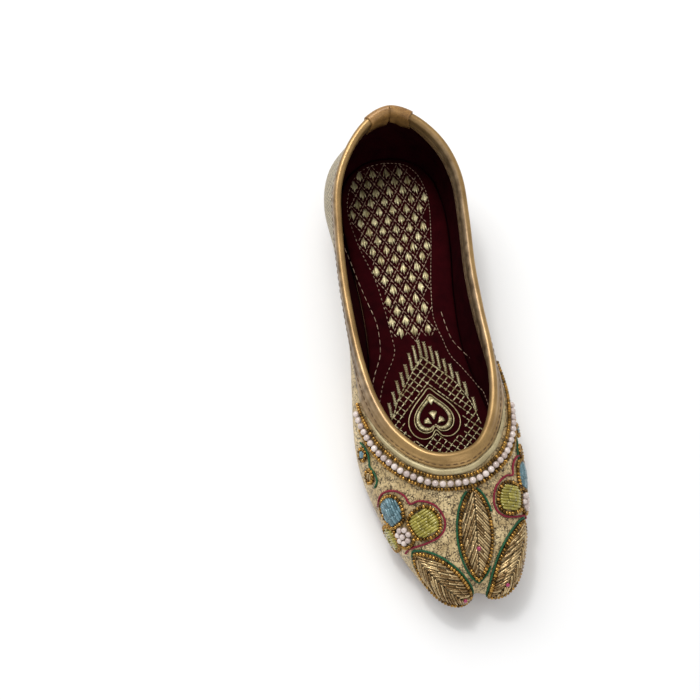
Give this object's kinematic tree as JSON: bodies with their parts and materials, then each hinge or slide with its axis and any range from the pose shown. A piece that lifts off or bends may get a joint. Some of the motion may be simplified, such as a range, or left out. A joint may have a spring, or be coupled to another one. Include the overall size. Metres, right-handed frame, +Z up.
{
  "type": "mojari shoe",
  "caption": "Right-foot mojari: flat leather sole with a low heel lift, pinched round toe, deep oval collar with folded binding, padded velvet sock and beaded vamp.",
  "frame": {"origin": "middle of the bounding box's footprint, on the floor the shoe stands on", "axes": "toe along -Y, heel along +Y, +X towards the big-toe (inner) side, +Z up"},
  "size_m": [0.0776, 0.2424, 0.0628],
  "materials": {
    "outsole_leather": "matte, vegetable tanned",
    "lift_leather": "matte, stacked",
    "sock_velvet": "velvet pile with gilt thread embroidery",
    "upper_tissue": "metallic tissue with glass and metal beads",
    "binding_leather": "satin, pearlised gilt",
    "tab_leather": "satin, undyed tan"
  },
  "bodies": {
    "root": {"outsole": "outsole_leather", "heel_lift": "lift_leather", "insole": "sock_velvet", "upper": "upper_tissue", "collar_binding": "binding_leather", "heel_tab": "tab_leather"}
  },
  "joints": []
}
